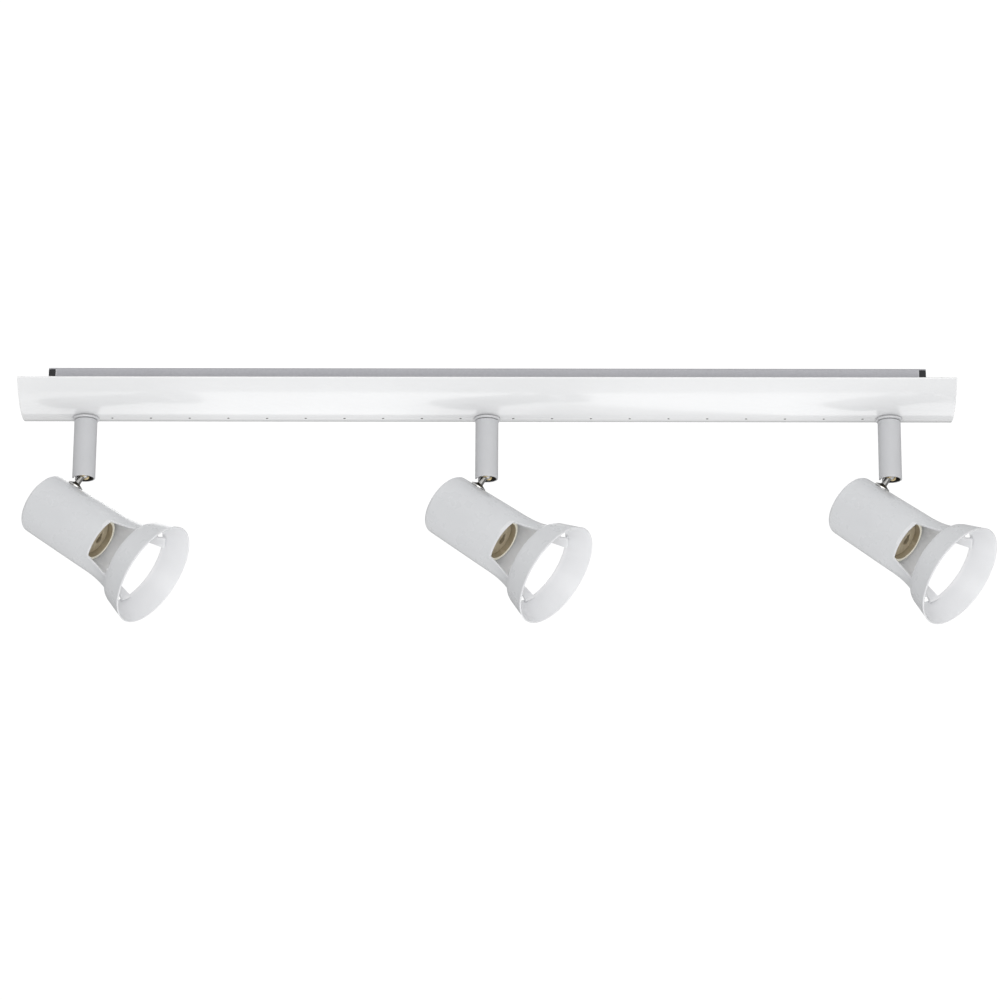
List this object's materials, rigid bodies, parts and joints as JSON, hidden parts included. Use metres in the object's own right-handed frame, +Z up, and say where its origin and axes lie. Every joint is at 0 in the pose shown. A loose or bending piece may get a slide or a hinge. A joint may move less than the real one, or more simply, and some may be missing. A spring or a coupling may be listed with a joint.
{
  "type": "ceiling spotlight bar",
  "caption": "Straight ceiling spotlight bar: a curved white cover plate under a grey rail, with short stems carrying tilting and turning tubular heads that end in open flared rings.",
  "frame": {"origin": "centre of the rail's upper face, which lies against the ceiling", "axes": "+X along the bar, +Z up into the ceiling, -Y towards the side that the heads are seen from"},
  "size_m": [0.6242, 0.0869, 0.1662],
  "materials": {
    "white_gloss": "white gloss lacquer",
    "white_satin": "white satin paint",
    "grey_rail": "grey satin paint",
    "black_plastic": "black moulded nylon",
    "nickel": "nickel plate",
    "zinc_steel": "zinc-plated steel",
    "brass": "bare turned brass",
    "ceramic": "cream steatite, unglazed",
    "cream_plastic": "cream moulded plastic",
    "lead_sleeve": "silicone sleeving"
  },
  "bodies": {
    "bar": {"ceiling_rail": "grey_rail", "cover_plate": "white_gloss", "rail_end_plug_left": "black_plastic", "rail_end_plug_right": "black_plastic", "cover_end_bracket_left": "zinc_steel", "cover_end_bracket_right": "zinc_steel", "cover_screw_left": "zinc_steel", "cover_screw_right": "zinc_steel", "terminal_block": "cream_plastic", "terminal_screw": "zinc_steel", "cable_grommet": "black_plastic", "earth_screw": "brass", "bar_lead_left": "lead_sleeve", "bar_lead_middle": "lead_sleeve", "bar_lead_right": "lead_sleeve", "stem_collar_left": "white_satin", "stem_collar_middle": "white_satin", "stem_collar_right": "white_satin"},
    "stem_left": {"stem_tube_left": "white_satin", "stem_nut_left": "zinc_steel", "swivel_fork_left": "brass", "swivel_pin_left": "nickel"},
    "head_left": {"swivel_tongue_left": "nickel", "swivel_nut_left": "zinc_steel", "head_shell_left": "white_satin", "shade_ring_left": "white_satin", "lamp_socket_left": "ceramic", "socket_strap_left": "zinc_steel", "socket_screw_a_left": "zinc_steel", "socket_screw_b_left": "zinc_steel", "socket_lead_left": "lead_sleeve"},
    "stem_middle": {"stem_tube_middle": "white_satin", "stem_nut_middle": "zinc_steel", "swivel_fork_middle": "brass", "swivel_pin_middle": "nickel"},
    "head_middle": {"swivel_tongue_middle": "nickel", "swivel_nut_middle": "zinc_steel", "head_shell_middle": "white_satin", "shade_ring_middle": "white_satin", "lamp_socket_middle": "ceramic", "socket_strap_middle": "zinc_steel", "socket_screw_a_middle": "zinc_steel", "socket_screw_b_middle": "zinc_steel", "socket_lead_middle": "lead_sleeve"},
    "stem_right": {"stem_tube_right": "white_satin", "stem_nut_right": "zinc_steel", "swivel_fork_right": "brass", "swivel_pin_right": "nickel"},
    "head_right": {"swivel_tongue_right": "nickel", "swivel_nut_right": "zinc_steel", "head_shell_right": "white_satin", "shade_ring_right": "white_satin", "lamp_socket_right": "ceramic", "socket_strap_right": "zinc_steel", "socket_screw_a_right": "zinc_steel", "socket_screw_b_right": "zinc_steel", "socket_lead_right": "lead_sleeve"}
  },
  "joints": [
    {"name": "stem_turn_left", "type": "hinge", "parent": "bar", "child": "stem_left", "pos_m": [-0.2588, 0, -0.0285], "axis": [0, 0, 1], "range_deg": [-175, 175]},
    {"name": "head_tilt_left", "type": "hinge", "parent": "stem_left", "child": "head_left", "pos_m": [-0.2588, 0, -0.0645], "axis": [0.2554, 0.9668, 0], "range_deg": [-34.6, 55.4]},
    {"name": "stem_turn_middle", "type": "hinge", "parent": "bar", "child": "stem_middle", "pos_m": [0, 0, -0.0285], "axis": [0, 0, 1], "range_deg": [-175, 175]},
    {"name": "head_tilt_middle", "type": "hinge", "parent": "stem_middle", "child": "head_middle", "pos_m": [0, 0, -0.0645], "axis": [0.3649, 0.9311, 0], "range_deg": [-36.1, 53.9]},
    {"name": "stem_turn_right", "type": "hinge", "parent": "bar", "child": "stem_right", "pos_m": [0.2588, 0, -0.0285], "axis": [0, 0, 1], "range_deg": [-175, 175]},
    {"name": "head_tilt_right", "type": "hinge", "parent": "stem_right", "child": "head_right", "pos_m": [0.2588, 0, -0.0645], "axis": [0.4772, 0.8788, 0], "range_deg": [-37.9, 52.1]}
  ]
}
